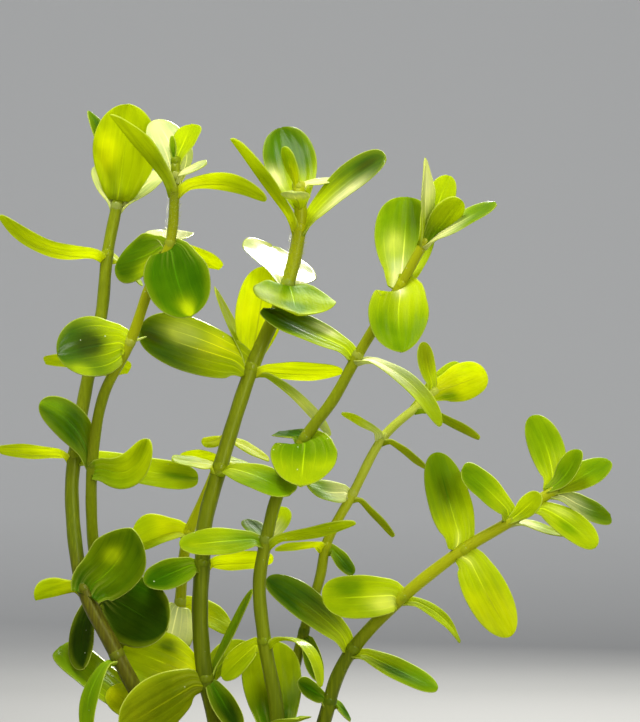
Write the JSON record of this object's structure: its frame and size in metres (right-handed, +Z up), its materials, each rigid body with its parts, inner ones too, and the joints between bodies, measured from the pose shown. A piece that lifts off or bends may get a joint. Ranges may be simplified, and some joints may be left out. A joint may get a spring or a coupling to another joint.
{
  "type": "potted lemon bacopa",
  "caption": "Potted lemon bacopa: upright stems with opposite clasping leaves, rooted in a wool plug in a slotted net pot.",
  "frame": {"origin": "centre of the pot's foot, on the plane that it stands on", "axes": "+Z up along the stems, +Y away from the side that shows the full spread of the leaves, +X to the right from that side"},
  "size_m": [0.1225, 0.053, 0.1795],
  "materials": {
    "pot": "black moulded plastic",
    "wool": "fibrous tan rock wool",
    "stem": "smooth fleshy olive green stem",
    "leaf": "satin fleshy green leaf with pale veins"
  },
  "bodies": {
    "root": {"net_pot": "pot", "rock_wool": "wool", "stem_a": "stem", "leaves_a1": "leaf", "leaves_a2": "leaf", "leaves_a3": "leaf", "leaves_a4": "leaf", "leaves_a5": "leaf", "leaves_a6": "leaf", "leaves_a7": "leaf", "leaves_a8": "leaf", "stem_b": "stem", "leaves_b1": "leaf", "leaves_b2": "leaf", "leaves_b3": "leaf", "leaves_b4": "leaf", "leaves_b5": "leaf", "leaves_b6": "leaf", "leaves_b7": "leaf", "stem_c": "stem", "leaves_c1": "leaf", "leaves_c2": "leaf", "leaves_c3": "leaf", "leaves_c4": "leaf", "leaves_c5": "leaf", "leaves_c6": "leaf", "leaves_c7": "leaf", "leaves_c8": "leaf", "stem_g": "stem", "leaves_g1": "leaf", "leaves_g2": "leaf", "leaves_g3": "leaf", "leaves_g4": "leaf", "stem_d": "stem", "leaves_d1": "leaf", "leaves_d2": "leaf", "leaves_d3": "leaf", "leaves_d4": "leaf", "leaves_d5": "leaf", "leaves_d6": "leaf", "leaves_d7": "leaf", "stem_e": "stem", "leaves_e1": "leaf", "leaves_e2": "leaf", "leaves_e3": "leaf", "leaves_e4": "leaf", "leaves_e5": "leaf", "leaves_e6": "leaf", "stem_f": "stem", "leaves_f1": "leaf", "leaves_f2": "leaf", "leaves_f3": "leaf", "leaves_f4": "leaf", "leaves_f5": "leaf", "leaves_f6": "leaf", "leaves_f7": "leaf"}
  },
  "joints": []
}
